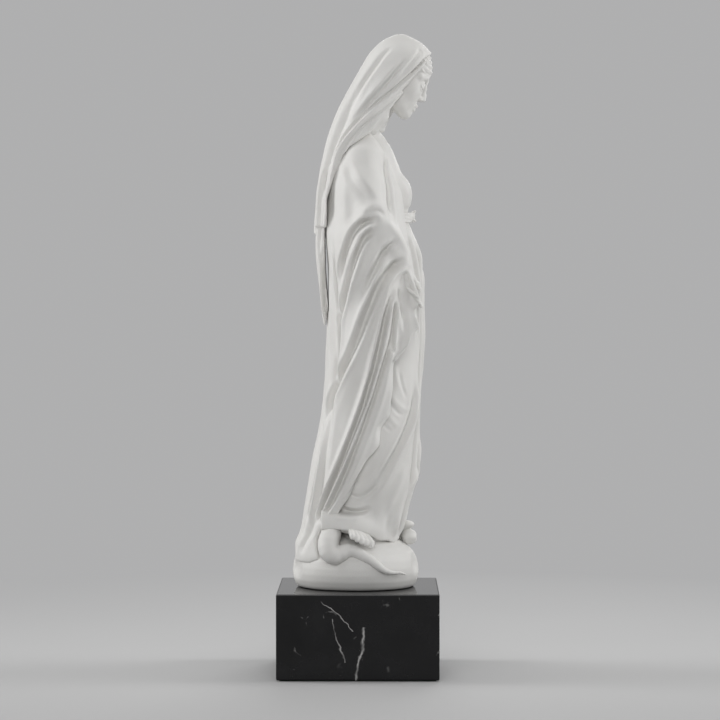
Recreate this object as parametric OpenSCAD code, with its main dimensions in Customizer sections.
// Draped statue of a woman with a bowed head, standing on a rounded mound with a serpent,
// screwed down on a polished stone block. It faces -Y, and the underside of the felt is at z = 0.

/* [Overall] */
// Height of the figure with its mound, above the block
figure_h = 520; // [430:10:600]
// Width of the block, side to side
plinth_w = 170; // [150:1:210]
// Depth of the block, front to back
plinth_d = 150; // [140:1:190]
// Height of the block
plinth_h = 79; // [65:1:120]
// Chamfer along the edges of the block
plinth_chamfer = 1; // [0.5:0.5:3]

/* [Felt] */
// Thickness of the felt sheet under the block
felt_t = 1; // [0.5:0.5:3]
// How far the felt stays back from the edges of the block
felt_inset = 3; // [1:1:12]

/* [Fixing] */
// Diameter of the steel stud
stud_d = 8; // [6:1:12]
// Free space around the stud in the block's hole
stud_clearance = 0.5; // [0.2:0.1:1]
// How far the stud reaches into the mound
stud_reach = 22; // [14:1:26]
// How far the stud's end stands past the nut
stud_tail = 2; // [1:0.5:4]
// Outer diameter of the threaded sleeve cast into the mound
sleeve_d = 14; // [13:1:20]
// Length of that sleeve
sleeve_l = 24; // [16:1:28]
// Diameter of the recess for the nut
recess_d = 32; // [28:1:44]
// Depth of that recess
recess_h = 16; // [12:1:30]
// Outer diameter of the washer
washer_d = 24; // [20:1:26]
// Thickness of the washer
washer_t = 2; // [1:0.5:3]
// Width of the nut across its flats
nut_flats = 13; // [13:1:19]
// Height of the nut
nut_h = 6.5; // [5:0.5:9]

/* [Dowels] */
// Diameter of the two dowels between the mound and the gown
foot_dowel_d = 6; // [4:0.5:8]
// Length of those dowels
foot_dowel_l = 36; // [24:1:44]
// Distance between those dowels
foot_dowel_span = 34; // [28:1:38]
// Diameter of the pin that holds each hand
hand_pin_d = 2.4; // [1.6:0.2:3.2]
// Length of that pin
hand_pin_l = 20; // [14:1:26]
// Diameter of the dowel in the neck
neck_dowel_d = 5; // [4:0.5:7]
// Length of that dowel
neck_dowel_l = 34; // [24:1:44]

/* [Hidden] */
// The carved forms are laid out on a figure of this height and scaled to figure_h
drawn_h = 520;
size = figure_h / drawn_h;
plinth_top = felt_t + plinth_h;
stone = "whitesmoke";
over = 1;

// Sections of the carved forms: height, front, back and half width
gown_table = [[30, -34, 22, 38], [48, -38, 25, 41], [66, -41, 26, 42], [82, -49, 26, 44], [100, -54, 26, 46],
    [124, -56.5, 25, 48], [150, -58, 23, 48], [200, -60, 21, 48], [250, -62, 20, 46], [285, -61.5, 19, 44],
    [305, -59, 18, 41], [325, -54, 18, 37], [342, -48, 17, 34], [356, -47.5, 17, 34], [370, -49, 16, 36],
    [390, -43, 14, 38], [406, -35, 11, 35], [418, -29, 7, 27], [428, -24, 3, 20], [434, -22, 0, 17]];
mantle_table = [[20, -20, 60, 50], [34, -20, 59, 51], [52, -22, 56, 52], [80, -30, 51, 55], [120, -40, 43.5, 60],
    [157, -46, 36, 64], [180, -50, 33, 67], [210, -56, 31, 70], [240, -60, 30, 73], [262, -59, 31, 75],
    [290, -54, 32, 76], [315, -47, 33, 75], [345, -41, 34, 70], [370, -39, 33, 63], [392, -35, 28, 55],
    [406, -31, 21, 45], [416, -26, 14, 33], [424, -21, 9, 23]];
veil_table = [[235, 22, 33, 28], [262, 18, 36.5, 34], [290, 14, 39, 37], [323, 10, 42, 40], [345, 6, 41, 42],
    [370, 0, 39, 44], [390, -8, 35.5, 44], [405, -16, 32, 42], [421, -26, 28, 39], [436, -34, 23, 36],
    [451, -42, 17.5, 35], [466, -52, 11, 34.5], [481, -62, 4, 34], [491, -68, -1, 32.5], [500, -71, -6, 29.5],
    [508, -69, -12, 25], [514, -64, -19, 19.5], [518, -56, -27, 12], [520, -48, -35, 5]];
// Side outlines of what is cut from in front of the mantle and of the veil: distance from front to back, height
mantle_opening = [[-90, 10], [44, 10], [40, 48], [28, 67], [12, 90], [-8, 124], [-20, 142], [-30, 187],
    [-34, 217], [-48, 230], [-58, 249], [-53, 272], [-47, 292], [-47, 302], [-90, 302]];
veil_opening = [[-90, 230], [27, 230], [30, 334], [29, 364], [22, 383], [8, 411], [-13, 428], [-34, 454],
    [-53, 474], [-71, 497], [-90, 520]];
chest_opening_w = 52;
loft_sides = 36;
loft_step = 12;
loft_fullness = 2.3;

mound_back = 2;
mound_sides = 60;
// Side outline of the mound: radius and height
mound_outline = [[54, 0], [57, 5], [59, 13], [59, 20], [57.5, 27], [54, 33], [49, 38], [42, 43], [33, 47],
    [20, 50.5], [8, 52]];
mound_h = 52.3;

// Centre line of the serpent's body: side, front to back, height and radius
serpent_path = [[-37, -50, 12, 0.8], [-42, -42, 15, 1.6], [-48, -32, 18.5, 2.7], [-52, -22, 26, 3.8],
    [-52, -11, 32.5, 4.8], [-51, -1, 38, 5.6], [-50, 8, 36, 6.6], [-50, 16, 31, 7.6], [-50, 24, 32, 8.6],
    [-46, 27, 42, 8.8], [-40, 24, 50, 8.6], [-32, 22, 54, 8.4], [-20, 24, 52, 8.2], [-4, 30, 48, 8.2],
    [14, 34, 45, 8.2], [30, 32, 42, 8.2], [43, 22, 40, 8.2], [50, 8, 37, 8], [51, -8, 36, 7.6],
    [46, -23, 37, 7.2], [36, -35, 40, 6.8], [24, -42, 44, 6.4], [14, -44, 49, 6.4]];
serpent_sides = 10;
serpent_cuts = 2;
serpent_head = [6, -46, 56];
apple_r = 9;
apple_at = [4, -45, 48];

head_at = [0, -41.8, 481.4];
head_bow = 28.5;
neck_foot = [0, -9, 434];
neck_r = 13;
skull_radii = [23, 29, 28];

wrist_at = [57, -38, 301];
hand_l = 42;
hand_lean = 26;
hand_splay = 12;
pin_lean = 35;
belt_z = 347;
belt_h = 9;
belt_t = 2.2;
blob_fn = 16;

function column(table, c) = [for (s = table) [s[0], s[c]]];
function rounded(v, fullness) = sign(v) * pow(abs(v), 2 / fullness);
function section(table, z, grow) = let (
        front = lookup(z, column(table, 1)) - grow, back = lookup(z, column(table, 2)) + grow,
        half_w = lookup(z, column(table, 3)) + grow)
    [for (i = [0:loft_sides - 1]) let (a = 360 * i / loft_sides) [half_w * rounded(cos(a), loft_fullness),
        (front + back) / 2 + (back - front) / 2 * rounded(sin(a), loft_fullness), z]];
// Faces of a tube of n rings, each with m points, closed at both ends
function tube_faces(n, m) = concat(
    [[for (j = [0:m - 1]) j]],
    [for (i = [0:n - 2]) for (j = [0:m - 1]) [i * m + j, (i + 1) * m + j, (i + 1) * m + (j + 1) % m]],
    [for (i = [0:n - 2]) for (j = [0:m - 1]) [i * m + j, (i + 1) * m + (j + 1) % m, i * m + (j + 1) % m]],
    [[for (j = [m - 1:-1:0]) (n - 1) * m + j]]);

// Closed skin through a table of sections
module loft(table, grow = 0) {
    bottom = table[0][0];
    top = table[len(table) - 1][0];
    layers = ceil((top - bottom) / loft_step);
    heights = [for (i = [0:layers]) bottom + (top - bottom) * i / layers];
    rings = [for (z = heights) section(table, z, grow)];
    polyhedron(points = [for (r = rings) for (p = r) p], faces = tube_faces(len(rings), loft_sides));
}

// Smooth curve through the points p0 to p3, between p1 and p2
function curve(p0, p1, p2, p3, t) = 0.5 * (2 * p1 + (p2 - p0) * t + (2 * p0 - 5 * p1 + 4 * p2 - p3) * t * t
    + (3 * p1 - p0 - 3 * p2 + p3) * t * t * t);
function smooth_path(path, cuts) = [for (i = [0:len(path) - 2]) for (s = [0:cuts - 1])
    curve(path[max(i - 1, 0)], path[i], path[i + 1], path[min(i + 2, len(path) - 1)], s / cuts)];
function place_of(p) = [p[0], p[1], p[2]];
function unit(v) = v / norm(v);
function ring_at(path, i, sides) = let (
        here = place_of(path[i]), along = unit(place_of(path[min(i + 1, len(path) - 1)])
            - place_of(path[max(i - 1, 0)])),
        side = unit(cross(along, [0, 0, 1])), up = cross(along, side))
    [for (j = [0:sides - 1]) let (a = 360 * j / sides) here + path[i][3] * (cos(a) * side + sin(a) * up)];
module sweep(path, sides) {
    rings = [for (i = [0:len(path) - 1]) ring_at(path, i, sides)];
    polyhedron(points = [for (r = rings) for (p = r) p], faces = tube_faces(len(rings), sides));
}

// Puts a carved form on the block at its real size
module carved() { translate([0, 0, plinth_top]) scale([size, size, size]) children(); }
// A carved form made by several cuts, as one skin
module one_skin() { resize([0, 0, 0]) children(); }
module ball(at, r) { translate(at) sphere(r = r, $fn = blob_fn); }

module plinth() {
    color("#141414") difference() {
        translate([0, 0, felt_t]) chamfered_block(plinth_w, plinth_d, plinth_h, plinth_chamfer);
        translate([0, 0, felt_t - over]) cylinder(d = recess_d, h = recess_h + over, $fn = 96);
        cylinder(d = stud_d + 2 * stud_clearance, h = plinth_top + over, $fn = 64);
    }
}
module chamfered_block(w, d, h, c) {
    hull() {
        translate([-w / 2 + c, -d / 2 + c, 0]) cube([w - 2 * c, d - 2 * c, h]);
        translate([-w / 2, -d / 2, c]) cube([w, d, h - 2 * c]);
    }
}
module felt_sheet() {
    color("darkolivegreen") translate([-plinth_w / 2 + felt_inset, -plinth_d / 2 + felt_inset, 0])
        cube([plinth_w - 2 * felt_inset, plinth_d - 2 * felt_inset, felt_t]);
}

recess_top = felt_t + recess_h;
nut_bottom = recess_top - washer_t - nut_h;
module fixing_stud() {
    color("silver") translate([0, 0, nut_bottom - stud_tail])
        cylinder(d = stud_d, h = plinth_top + stud_reach - nut_bottom + stud_tail, $fn = 64);
}
module ring_of_steel(outer_d, h) {
    difference() {
        cylinder(d = outer_d, h = h, $fn = 64);
        translate([0, 0, -over]) cylinder(d = stud_d, h = h + 2 * over, $fn = 64);
    }
}
module fixing_washer() { color("silver") translate([0, 0, recess_top - washer_t]) ring_of_steel(washer_d, washer_t); }
module fixing_nut() {
    color("silver") translate([0, 0, nut_bottom]) difference() {
        cylinder(d = nut_flats / cos(30), h = nut_h, $fn = 6);
        translate([0, 0, -over]) cylinder(d = stud_d, h = nut_h + 2 * over, $fn = 64);
    }
}
module threaded_sleeve() { color("goldenrod") translate([0, 0, plinth_top]) ring_of_steel(sleeve_d, sleeve_l); }

module mound_form() {
    translate([0, mound_back, 0]) rotate_extrude($fn = mound_sides)
        polygon(concat([[0, 0]], mound_outline, [[0, mound_h]]));
}
foot_dowel_bottom = plinth_top + (mound_h * size - foot_dowel_l / 2) - 4;
module foot_dowel_set(grow = 0) {
    for (side = [-1, 1]) translate([side * foot_dowel_span / 2, 0, foot_dowel_bottom])
        cylinder(d = foot_dowel_d, h = foot_dowel_l, $fn = 48);
}
module foot_dowels() { color("silver") foot_dowel_set(); }
module mound() {
    color(stone) difference() {
        carved() one_skin() mound_form();
        translate([0, 0, plinth_top - over]) cylinder(d = sleeve_d, h = sleeve_l + over, $fn = 64);
        foot_dowel_set();
    }
}

module serpent_form() {
    sweep(smooth_path(serpent_path, serpent_cuts), serpent_sides);
    hull() {
        ball([14, -44, 49], 6.4);
        ball(serpent_head, 6);
        ball(serpent_head + [-3, -5, 1], 4);
    }
    ball(apple_at, apple_r);
}
module serpent() {
    color(stone) carved() one_skin() difference() {
        serpent_form();
        mound_form();
        gown_form();
        foot_form(right_foot_at, right_foot_turn);
    }
}

right_foot_at = [-37, 3, 52];
right_foot_turn = -52;
left_foot_at = [22, -24, 52];
left_foot_turn = 18;
toe_spread = [-8.5, -4.6, -0.8, 3, 7.4];
toe_reach = [19, 22, 24, 25, 25];
toe_r = [2.6, 2.7, 2.8, 2.9, 3.9];
module foot_form(at, turn, inner = 1) {
    translate(at) rotate([26, 0, turn]) {
        hull() {
            ball([0, 22, 2], 9);
            ball([0, 4, 3], 9);
            ball([-6, -13, -1], 4.5);
            ball([6, -13, -1], 5.5);
        }
        for (i = [0:4]) hull() {
            ball([inner * toe_spread[i], -13, -1.5], toe_r[i] + 0.8);
            ball([inner * toe_spread[i], -toe_reach[i], -3.5], toe_r[i]);
        }
    }
}
module right_foot() {
    color(stone) carved() one_skin() difference() {
        foot_form(right_foot_at, right_foot_turn);
        mound_form();
        gown_form();
    }
}
module left_foot() {
    color(stone) carved() one_skin() difference() {
        foot_form(left_foot_at, left_foot_turn, -1);
        mound_form();
        serpent_form();
        gown_form();
    }
}

module gown_form() { loft(gown_table); }
module head_frame() { translate(head_at) rotate([head_bow, 0, 0]) children(); }
module neck_dowel_form() {
    translate([0, 0, plinth_top]) translate(size * neck_foot) cylinder(d = neck_dowel_d, h = neck_dowel_l, center = true,
        $fn = 48);
}
module gown() {
    color(stone) difference() {
        carved() one_skin() difference() {
            gown_form();
            mound_form();
        }
        foot_dowel_set();
        neck_dowel_form();
    }
}
module sash_form() {
    intersection() {
        loft(gown_table, belt_t);
        translate([-60, -80, belt_z - belt_h / 2]) cube([120, 120, belt_h]);
    }
    translate([0, -51, belt_z]) hull() {
        ball([-7, 0, 1], 4);
        ball([7, 0, 1], 4);
        ball([0, -2, 0], 4.5);
    }
}
module sash() {
    color(stone) carved() one_skin() difference() {
        sash_form();
        gown_form();
    }
}

module mantle_form() {
    difference() {
        loft(mantle_table);
        rotate([90, 0, 90]) translate([0, 0, -100]) linear_extrude(height = 200) polygon(mantle_opening);
        translate([-chest_opening_w / 2, -90, 290]) cube([chest_opening_w, 80, 200]);
    }
}
module mantle() {
    color(stone) difference() {
        carved() one_skin() difference() {
            mantle_form();
            gown_form();
            mound_form();
            serpent_form();
            foot_form(right_foot_at, right_foot_turn);
            sash_form();
        }
        for (side = [-1, 1]) hand_pin(side);
    }
}

module head_form() {
    head_frame() {
        translate([0, 2, 4]) resize(2 * skull_radii) sphere(r = skull_radii[0], $fn = 32);
        hull() {
            ball([-11, -13, -6], 10);
            ball([11, -13, -6], 10);
            ball([0, -20, -28], 5.5);
            ball([0, 0, -12], 12);
        }
        hull() {
            ball([0, -24, 4], 2.5);
            ball([0, -27, -8], 3);
        }
    }
    hull() {
        head_frame() ball([0, 8, -10], neck_r);
        translate(neck_foot) cylinder(r = neck_r + 1, h = 4, $fn = 32);
    }
}
module head() {
    color(stone) difference() {
        carved() one_skin() difference() {
            head_form();
            gown_form();
        }
        neck_dowel_form();
    }
}
module neck_dowel() { color("silver") neck_dowel_form(); }

module veil() {
    color(stone) carved() one_skin() difference() {
        loft(veil_table);
        rotate([90, 0, 90]) translate([0, 0, -100]) linear_extrude(height = 200) polygon(veil_opening);
        head_form();
        gown_form();
        mantle_form();
    }
}

// Puts a hand or its pin at the wrist: side is -1 for the right and 1 for the left
module at_wrist(side) {
    translate([side * wrist_at[0], wrist_at[1], wrist_at[2]]) rotate([-hand_lean, side * -hand_splay, 0]) children();
}
module hand_form(side) {
    at_wrist(side) mirror([side > 0 ? 1 : 0, 0, 0]) {
        hull() {
            ball([0, 0, 1], 5);
            ball([-5, 0, -16], 4);
            ball([5, 0, -17], 4);
        }
        for (i = [0:3]) hull() {
            ball([-6 + 4 * i, 0, -17], 2.6);
            ball([-7 + 4.4 * i, -2 - i, -hand_l + [3, 0, 1, 5][i]], 2);
        }
        hull() {
            ball([-5, -2, -6], 3.2);
            ball([-12, -5, -20], 2.4);
        }
    }
}
module hand_pin(side) {
    translate([0, 0, plinth_top]) translate(size * [side * wrist_at[0], wrist_at[1], wrist_at[2]])
        rotate([-pin_lean, 0, 0]) cylinder(d = hand_pin_d, h = hand_pin_l, center = true, $fn = 32);
}
module hand(side) {
    color(stone) difference() {
        carved() one_skin() difference() {
            hand_form(side);
            mantle_form();
            gown_form();
        }
        hand_pin(side);
    }
}
module right_hand() { hand(-1); }
module left_hand() { hand(1); }
module hand_pins() { color("silver") for (side = [-1, 1]) hand_pin(side); }

plinth();
felt_sheet();
fixing_stud();
fixing_washer();
fixing_nut();
threaded_sleeve();
mound();
foot_dowels();
serpent();
right_foot();
left_foot();
gown();
sash();
mantle();
veil();
head();
neck_dowel();
right_hand();
left_hand();
hand_pins();
